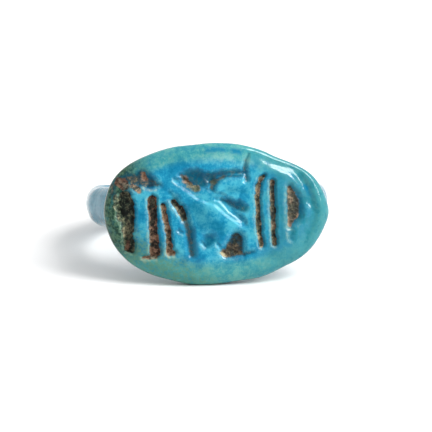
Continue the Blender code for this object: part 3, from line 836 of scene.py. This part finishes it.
def lay_down(points):
    """The ring's own frame, in millimetres, to the shared frame, in metres."""
    lean = resting_lean(points)
    y = points[:, 1] * math.cos(lean) + points[:, 2] * math.sin(lean)
    z = points[:, 2] * math.cos(lean) - points[:, 1] * math.sin(lean)
    laid = np.stack([points[:, 0], y, z], axis=1)
    low, high = laid.min(axis=0), laid.max(axis=0)
    middle = (low + high) / 2
    laid -= (middle[0], middle[1], low[2] + FLAT_DEPTH)
    laid[:, 2] = np.maximum(laid[:, 2], 0)
    return laid * MM


def places_of(mesh):
    places = np.empty(len(mesh.vertices) * 3)
    mesh.vertices.foreach_get("co", places)
    return places.reshape(-1, 3)


def add_to_scene(name, data):
    obj = bpy.data.objects.new(name, data)
    bpy.context.scene.collection.objects.link(obj)
    return obj


def thin_out_plain(mesh):
    """Collapses the small faces of the plain surfaces, and keeps the bezel's face fine."""
    obj = add_to_scene("working", mesh)
    group = obj.vertex_groups.new(name="plain")
    x, y, z = places_of(mesh).T
    plain = (depth_behind(x, y) > KEPT_DEPTH) | (np.hypot(x, z) > KEPT_REACH)
    group.add([int(number) for number in np.flatnonzero(plain)], 1.0, "REPLACE")
    modifier = obj.modifiers.new("thin", "DECIMATE")
    modifier.ratio = TRIANGLES_KEPT / (len(mesh.polygons) * 2)
    modifier.vertex_group = "plain"
    graph = bpy.context.evaluated_depsgraph_get()
    thinned = bpy.data.meshes.new_from_object(obj.evaluated_get(graph))
    bpy.data.objects.remove(obj)
    return thinned


def weld(mesh):
    """Joins the few neighbouring points that have landed on the same spot."""
    mesh_tool = bmesh.new()
    mesh_tool.from_mesh(mesh)
    bmesh.ops.remove_doubles(mesh_tool, verts=mesh_tool.verts, dist=WELD_REACH)
    mesh_tool.to_mesh(mesh)
    mesh_tool.free()


def write_masks(mesh, points):
    """Writes what the glaze's shader reads, as one number per vertex for each name."""
    x, y, z = points.T
    inset, _, bearing = outline_at(x, z)
    behind = depth_behind(x, y)
    on_face = smooth_step(-behind, *FACE_DEPTHS) * smooth_step(inset, *FACE_INSETS)
    on_bezel = smooth_step(-behind, *BEZEL_DEPTHS)
    right = smooth_step(x, *RIGHT_SPAN)
    left = smooth_step(-x, *LEFT_SPAN) * smooth_step(-inset, *RIM_SPAN)
    below = smooth_step(-z, *BELOW_SPAN)
    rim_fade = (at + more * below for at, more in zip(RIM_INSETS, RIM_MORE_BELOW))
    near_blue = smooth_step(np.cos(bearing - BLUE_BEARING), *BLUE_REACH)
    blue = bump_at(inset, BLUE_INSET + BLUE_END_INSET * right, BLUE_SPREAD)
    marks = face_marks(x, z)
    masks = {name: marks[name] for name in ("tone", "rust", "grit")}
    masks |= {name: marks[name] * on_face for name in ("pool", "crust", "lit_thin_glaze")}
    masks |= {
        "bezel": on_bezel,
        "rim": on_bezel * (1 - smooth_step(inset, *rim_fade)),
        "trough": on_face * near_blue * blue,
        "right_end": on_face * right,
        # Painted highlight: a pale band where the upper rim's inner slope faces the light
        "painted_lit_band": on_face * bump_at(bearing, *BAND_BEARINGS) * bump_at(inset, *BAND_INSETS),
        # Darker green on the left edge: partly the glaze's own green, partly painted shade where
        # the edge turns away from the light
        "left_edge_green_and_shade": on_bezel * left * smooth_step(z, *LEFT_HEIGHTS),
        "lower_edge": on_bezel * smooth_step(-z - LOWER_EDGE_SLANT * x, *LOWER_EDGE_SPAN),
    }
    for name, values in masks.items():
        attribute = mesh.attributes.new(name, "FLOAT", "POINT")
        attribute.data.foreach_set("value", np.asarray(values, np.float32))


def make_ring(material):
    points, quads = mesh_level_set()
    mesh = bpy.data.meshes.new("ring_surface")
    mesh.from_pydata(draw_onto_surface(points, 1), [], quads)
    mesh = thin_out_plain(mesh)
    mesh.vertices.foreach_set("co", draw_onto_surface(places_of(mesh)).ravel())
    weld(mesh)
    points = places_of(mesh)
    write_masks(mesh, points)
    mesh.vertices.foreach_set("co", lay_down(points).ravel())
    mesh.update()
    mesh.materials.clear()
    mesh.materials.append(material)
    mesh.shade_smooth()
    ring = add_to_scene("ring_surface", mesh)
    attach(ring, "root")
    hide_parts("faience_ring")
    return ring


# ----------------------------------------
# Glaze
# ----------------------------------------

# Colours as displayed, from 0 to 255, before COLOUR_GAIN lightens them all
FIELD_BLUES = ((8, 82, 110), (22, 101, 127), (52, 126, 141))
RIM_GREENS = ((34, 98, 107), (49, 110, 110), (70, 119, 110))
RIGHT_END_TEAL = (38, 92, 97)
RIGHT_END_DARK = (12, 82, 94)
LOWER_EDGE_GREEN = (56, 96, 80)
TROUGH_BLUE = (0, 82, 110)
# A painted highlight: the pale band where the upper rim's inner slope faces the light
PAINTED_LIT_BAND_COLOUR = (110, 142, 140)
# Dark greens of the left edge: partly the glaze's own green, partly painted shade where the edge
# turns away from the light
LEFT_EDGE_GREENS_AND_SHADE = ((15, 42, 33), (52, 79, 61))
# Greys of the hoop, streaked lighter and darker; the lighter streaks are painted reflections
HOOP_GREYS = ((36, 80, 95), (47, 89, 103), (61, 101, 112))
# Dark blues of the pools: partly glaze pooled in hollows, partly painted shade on walls that face
# away from the light
POOL_AND_SHADE_BLUES = ((0, 50, 70), (5, 60, 73))
DEPOSIT_OLIVES = ((4, 8, 6), (22, 30, 24), (50, 60, 46), (86, 94, 72), (128, 130, 100))
DEPOSIT_BROWNS = ((8, 5, 3), (38, 26, 18), (74, 56, 43), (106, 88, 70), (138, 124, 100))
DEPOSIT_RED = (84, 56, 44)
# Thin pale glaze at the marks' lit edges: partly a painted highlight
THIN_GLAZE = (118, 134, 118)
COLOUR_GAIN = 1.72

GLOSSY_ROUGHNESS = 0.13
CRUST_ROUGHNESS = 0.55
GLAZE_IOR = 1.5
GLAZE_SPECULAR = 0.16
BUMP_DEPTH = 0.05 * MM


def srgb(levels):
    """A colour given as 0 to 255 display values, in the linear values a shader takes."""
    linear = []
    for level in levels:
        value = level / 255
        linear.append(value / 12.92 if value <= 0.04045 else ((value + 0.055) / 1.055) ** 2.4)
    return (*linear, 1.0)


class Shader:
    """A material's node tree, with one short method for each kind of node it uses."""

    def __init__(self, name):
        self.material = bpy.data.materials.new(name)
        self.material.use_nodes = True
        self.nodes = self.material.node_tree.nodes
        self.links = self.material.node_tree.links
        self.principled = self.nodes["Principled BSDF"]
        self.place = self.nodes.new("ShaderNodeTexCoord").outputs["Object"]

    def put(self, socket, value):
        if isinstance(value, bpy.types.NodeSocket):
            self.links.new(value, socket)
        else:
            socket.default_value = value

    def attribute(self, name):
        node = self.nodes.new("ShaderNodeAttribute")
        node.attribute_name = name
        return node.outputs["Fac"]

    def math(self, operation, first, second, clamp=False):
        node = self.nodes.new("ShaderNodeMath")
        node.operation = operation
        node.use_clamp = clamp
        self.put(node.inputs[0], first)
        self.put(node.inputs[1], second)
        return node.outputs[0]

    def blend(self, *parts):
        """The sum of (value, weight) parts."""
        total = 0.0
        for value, weight in parts:
            total = self.math("ADD", self.math("MULTIPLY", value, weight), total)
        return total

    def ramp(self, value, low, high, to_low=0.0, to_high=1.0):
        node = self.nodes.new("ShaderNodeMapRange")
        node.interpolation_type = "SMOOTHSTEP"
        for socket, given in zip(node.inputs, (value, low, high, to_low, to_high)):
            self.put(socket, given)
        return node.outputs["Result"]

    def noise(self, size, detail, roughness, shift=0.0, tall=1.0):
        """Values around 0.5, in lumps about `size` millimetres across, `tall` times as high."""
        move = self.nodes.new("ShaderNodeVectorMath")
        move.operation = "MULTIPLY_ADD"
        self.put(move.inputs[0], self.place)
        self.put(move.inputs[1], (1.0, 1.0, 1 / tall))
        self.put(move.inputs[2], (shift * MM, -shift * MM, 0.5 * shift * MM))
        node = self.nodes.new("ShaderNodeTexNoise")
        self.put(node.inputs["Vector"], move.outputs[0])
        self.put(node.inputs["Scale"], 1 / (size * MM))
        self.put(node.inputs["Detail"], detail)
        self.put(node.inputs["Roughness"], roughness)
        return node.outputs["Fac"]

    def mix(self, share, first, second):
        node = self.nodes.new("ShaderNodeMix")
        node.data_type = "RGBA"
        self.put(node.inputs["Factor"], share)
        self.put(node.inputs[6], first)
        self.put(node.inputs[7], second)
        return node.outputs[2]

    def gradient(self, value, colours):
        """Colours spread evenly over values from 0 to 1."""
        node = self.nodes.new("ShaderNodeValToRGB")
        elements = node.color_ramp.elements
        while len(elements) < len(colours):
            elements.new(0.5)
        for number, colour in enumerate(colours):
            elements[number].position = number / (len(colours) - 1)
            elements[number].color = srgb(colour)
        self.put(node.inputs["Fac"], value)
        return node.outputs["Color"]

    def layer(self, under, name, over, noise, span, shares):
        """Lays a colour where the attribute `name` is, in shares that follow a noise.

        The shares are the least and the most of the colour, reached where the noise is at
        the two ends of its span.
        """
        mask = self.math("MULTIPLY", self.attribute(name), self.ramp(noise, *span, *shares))
        return self.mix(mask, under, over)

    def brighten(self, colour, gain):
        node = self.nodes.new("ShaderNodeVectorMath")
        node.operation = "SCALE"
        self.put(node.inputs[0], colour)
        self.put(node.inputs["Scale"], gain)
        return node.outputs["Vector"]

    def bump(self, height, distance):
        node = self.nodes.new("ShaderNodeBump")
        self.put(node.inputs["Strength"], 1.0)
        self.put(node.inputs["Distance"], distance)
        self.put(node.inputs["Height"], height)
        return node.outputs["Normal"]


class Noises(NamedTuple):
    """The glaze's unevenness, from patches of 3.6 mm down to grains of 0.15 mm."""

    patch: bpy.types.NodeSocket
    cloud: bpy.types.NodeSocket
    mottle: bpy.types.NodeSocket
    speck: bpy.types.NodeSocket
    grain: bpy.types.NodeSocket
    streak: bpy.types.NodeSocket


def glaze_noises(shader):
    return Noises(
        patch=shader.noise(3.6, 1, 0.5, 11.0),
        cloud=shader.noise(1.7, 3, 0.55),
        mottle=shader.noise(0.75, 3, 0.6, 3.1),
        speck=shader.noise(0.3, 3, 0.65, 7.7),
        grain=shader.noise(0.15, 4, 0.7, 1.3),
        streak=shader.noise(0.8, 4, 0.65, 5.9, 1.5),
    )


def clean_glaze(shader, noises):
    """Colour of the glaze with its tints, plus a painted highlight, painted shade and painted
    reflections.
    """
    patch, cloud, mottle, speck, grain, streak = noises
    uneven = shader.blend((patch, 0.2), (cloud, 0.3), (mottle, 0.2), (speck, 0.18), (grain, 0.12))
    colour = shader.gradient(shader.ramp(uneven, 0.4, 0.6), FIELD_BLUES)

    rim_uneven = shader.blend((cloud, 0.3), (mottle, 0.25), (speck, 0.25), (grain, 0.2))
    green = shader.gradient(shader.ramp(rim_uneven, 0.41, 0.59), RIM_GREENS)
    ragged = shader.ramp(uneven, 0.3, 0.7, -0.15, 0.15)
    ragged_rim = shader.math("ADD", shader.attribute("rim"), ragged)
    colour = shader.mix(shader.ramp(ragged_rim, 0.1, 1.0, 0.0, 0.9), colour, green)

    teal, dark_teal = srgb(RIGHT_END_TEAL), srgb(RIGHT_END_DARK)
    colour = shader.layer(colour, "right_end", teal, rim_uneven, (0.4, 0.6), (0.45, 0.85))
    colour = shader.layer(colour, "right_end", dark_teal, mottle, (0.48, 0.62), (0.0, 0.6))
    edge_green = srgb(LOWER_EDGE_GREEN)
    colour = shader.layer(colour, "lower_edge", edge_green, speck, (0.36, 0.6), (0.2, 0.8))
    colour = shader.layer(colour, "trough", srgb(TROUGH_BLUE), cloud, (0.46, 0.64), (0.0, 0.9))
    # Painted highlight: a pale band where the upper rim's inner slope faces the light
    painted_band_light = srgb(PAINTED_LIT_BAND_COLOUR)
    colour = shader.layer(colour, "painted_lit_band", painted_band_light, mottle, (0.4, 0.6), (0.05, 0.35))
    # The left edge's dark green is partly glaze colour and partly painted shade
    dark_green_and_shade = shader.mix(shader.ramp(speck, 0.4, 0.62), *map(srgb, LEFT_EDGE_GREENS_AND_SHADE))
    colour = shader.layer(colour, "left_edge_green_and_shade", dark_green_and_shade, mottle, (0.3, 0.5), (0.65, 1.0))

    # Off the bezel: greys streaked along the hoop; the lighter streaks are painted reflections
    hoop_grey_and_painted_streaks = shader.gradient(shader.ramp(streak, 0.32, 0.68), HOOP_GREYS)
    off_bezel = shader.math("SUBTRACT", 1.0, shader.attribute("bezel"))
    return shader.mix(shader.math("MULTIPLY", off_bezel, 0.85), colour, hoop_grey_and_painted_streaks)


def deposit_colour(shader, noises):
    """Colour of the deposit in the strokes, from grey-green through brown to red-brown."""
    grains = shader.blend(
        (shader.ramp(noises.grain, 0.36, 0.64, -1.0, 1.0), 0.08),
        (shader.ramp(noises.speck, 0.38, 0.62, -1.0, 1.0), 0.13),
        (shader.ramp(noises.mottle, 0.38, 0.62, -1.0, 1.0), 0.17),
    )
    grains = shader.math("MULTIPLY", grains, shader.attribute("grit"))
    # The tone carries painted light and shade across each mark as well as the deposit's own
    # lightness
    light = shader.math("ADD", shader.attribute("tone"), grains)
    olive = shader.gradient(light, DEPOSIT_OLIVES)
    brown = shader.gradient(light, DEPOSIT_BROWNS)
    uneven = shader.ramp(noises.mottle, 0.36, 0.64, -0.35, 0.35)
    browner = shader.math("ADD", shader.attribute("rust"), uneven, clamp=True)
    redder = shader.math(
        "MULTIPLY", shader.ramp(browner, 0.7, 1.3), shader.ramp(noises.speck, 0.4, 0.6)
    )
    return shader.mix(redder, shader.mix(browner, olive, brown), srgb(DEPOSIT_RED))


def glaze_material():
    shader = Shader("faience_glaze")
    noises = glaze_noises(shader)
    colour = clean_glaze(shader, noises)

    # Marks darkened with pooled blue: partly pooled glaze, partly painted shade
    thick = shader.mix(shader.ramp(noises.mottle, 0.4, 0.6), *map(srgb, POOL_AND_SHADE_BLUES))
    pool = shader.math("MULTIPLY", shader.attribute("pool"), 0.9)
    colour = shader.mix(pool, colour, thick)

    edge_noise = shader.ramp(noises.speck, 0.35, 0.65, -0.12, 0.12)
    crust = shader.math("ADD", shader.attribute("crust"), edge_noise)
    crust = shader.ramp(crust, 0.15, 0.85)
    colour = shader.mix(crust, colour, deposit_colour(shader, noises))
    thin = srgb(THIN_GLAZE)
    # Thin pale glaze on the marks' lit edges: partly a painted highlight
    colour = shader.layer(colour, "lit_thin_glaze", thin, noises.speck, (0.35, 0.65), (0.2, 1.0))

    principled = shader.principled
    shader.put(principled.inputs["Base Color"], shader.brighten(colour, COLOUR_GAIN))
    thin_share = shader.math("MULTIPLY", shader.attribute("lit_thin_glaze"), 0.9)
    dull = shader.math("MAXIMUM", crust, thin_share)
    roughness = shader.ramp(dull, 0.1, 0.8, GLOSSY_ROUGHNESS, CRUST_ROUGHNESS)
    shader.put(principled.inputs["Roughness"], roughness)
    principled.inputs["IOR"].default_value = GLAZE_IOR
    principled.inputs["Specular IOR Level"].default_value = GLAZE_SPECULAR

    coarse = shader.math("MULTIPLY", noises.grain, shader.ramp(crust, 0.0, 1.0, 0.06, 1.2))
    off_bezel = shader.math("SUBTRACT", 1.0, shader.attribute("bezel"))
    streaks = shader.math("MULTIPLY", off_bezel, noises.streak)
    height = shader.blend((noises.mottle, 0.3), (streaks, 0.5), (coarse, 1.0))
    shader.put(principled.inputs["Normal"], shader.bump(height, BUMP_DEPTH))
    return shader.material


# ----------------------------------------
# Studio
# ----------------------------------------

CAMERA_AZIMUTH = math.radians(-5.3)
CAMERA_ELEVATION = math.radians(16.3)
CAMERA_DISTANCE = 0.36
FIELD_OF_VIEW = 0.03823
SENSOR_WIDTH = 36
CLIP_START = 0.01
# The point aimed at, from the middle of the ring's box at its front
AIM_LEFT = 0.00026
AIM_ABOVE = 0.00009
AIM_BEHIND = 0.001

# The key and side softboxes make the highlights, and the soft sheet lights and shades
KEY_PLACE = 0.25 * Vector((0.82, -0.42, 1.0))
KEY_SIZE = (0.105, 0.16)
KEY_POWER = 2.4
SOFT_PLACE = 0.25 * Vector((0.85, -0.55, 0.95))
SOFT_SIZE = (0.17, 0.24)
SOFT_POWER = 1.5
SIDE_PLACE = 0.3 * Vector((0.86, -0.32, 0.47)).normalized()
SIDE_SIZE = (0.04, 0.1)
SIDE_POWER = 0.55
WHITE_TENT = 1.02
# Brightness of the tent's opening for the lens, and where it is full and where it has faded
LENS_OPENING = 0.15
OPENING_SPAN = (math.radians(22), math.radians(40))
FLOOR_HALF = 3.0
PAPER_WHITE = 0.8
PAPER_ROUGHNESS = 0.9


def direction(azimuth, elevation):
    """From the object towards a viewer; azimuth 0 is the front, negative to its left."""
    flat = math.cos(elevation)
    return Vector((math.sin(azimuth) * flat, -math.cos(azimuth) * flat, math.sin(elevation)))


TOWARD_LENS = direction(CAMERA_AZIMUTH, CAMERA_ELEVATION)


def aim(obj, target):
    obj.rotation_euler = (target - obj.location).to_track_quat("-Z", "Y").to_euler()


def make_camera(target):
    camera = bpy.data.cameras.new("camera")
    camera.sensor_width = SENSOR_WIDTH
    camera.lens = SENSOR_WIDTH * CAMERA_DISTANCE / FIELD_OF_VIEW
    camera.clip_start = CLIP_START
    obj = add_to_scene("camera", camera)
    obj.location = target + TOWARD_LENS * CAMERA_DISTANCE
    aim(obj, target)
    bpy.context.scene.camera = obj


def make_softbox(name, place, size, power, target, glossy):
    """A softbox that only makes highlights, if glossy, or else one that only lights and shades."""
    light = bpy.data.lights.new(name, "AREA")
    light.shape = "RECTANGLE"
    light.size, light.size_y = size
    light.energy = power
    obj = add_to_scene(name, light)
    obj.location = place
    obj.visible_glossy = glossy
    obj.visible_diffuse = not glossy
    aim(obj, target)


def make_tent():
    """A white tent all round, with a dim opening for the lens."""
    world = bpy.data.worlds.new("studio")
    world.use_nodes = True
    nodes, links = world.node_tree.nodes, world.node_tree.links
    way = nodes.new("ShaderNodeTexCoord").outputs["Generated"]
    toward_lens = nodes.new("ShaderNodeVectorMath")
    toward_lens.operation = "DOT_PRODUCT"
    toward_lens.inputs[1].default_value = TOWARD_LENS
    links.new(way, toward_lens.inputs[0])
    fade = nodes.new("ShaderNodeMapRange")
    fade.interpolation_type = "SMOOTHSTEP"
    fade.inputs["From Min"].default_value = math.cos(OPENING_SPAN[1])
    fade.inputs["From Max"].default_value = math.cos(OPENING_SPAN[0])
    fade.inputs["To Min"].default_value = WHITE_TENT
    fade.inputs["To Max"].default_value = LENS_OPENING
    links.new(toward_lens.outputs["Value"], fade.inputs["Value"])
    nodes["Background"].inputs["Color"].default_value = (1, 1, 1, 1)
    links.new(fade.outputs["Result"], nodes["Background"].inputs["Strength"])
    bpy.context.scene.world = world


def make_floor():
    mesh = bpy.data.meshes.new("floor")
    signs = ((-1, -1), (1, -1), (1, 1), (-1, 1))
    corners = [(x * FLOOR_HALF, y * FLOOR_HALF, 0) for x, y in signs]
    mesh.from_pydata(corners, [], [(0, 1, 2, 3)])
    floor = add_to_scene("floor", mesh)
    paper = bpy.data.materials.new("white_paper")
    paper.use_nodes = True
    shader = paper.node_tree.nodes["Principled BSDF"]
    shader.inputs["Base Color"].default_value = (PAPER_WHITE, PAPER_WHITE, PAPER_WHITE, 1)
    shader.inputs["Roughness"].default_value = PAPER_ROUGHNESS
    mesh.materials.append(paper)


def make_studio(target):
    make_floor()
    make_tent()
    bpy.context.scene.view_settings.view_transform = "Standard"
    make_softbox("key_softbox", KEY_PLACE, KEY_SIZE, KEY_POWER, target, True)
    make_softbox("soft_sheet", SOFT_PLACE, SOFT_SIZE, SOFT_POWER, target, False)
    make_softbox("side_softbox", SIDE_PLACE, SIDE_SIZE, SIDE_POWER, target, True)


def main():
    make_ring(glaze_material())
    low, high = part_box("faience_ring")
    middle = (low + high) / 2
    target = Vector((middle.x - AIM_LEFT, low.y + AIM_BEHIND, middle.z + AIM_ABOVE))
    make_camera(target)
    make_studio(target)


main()
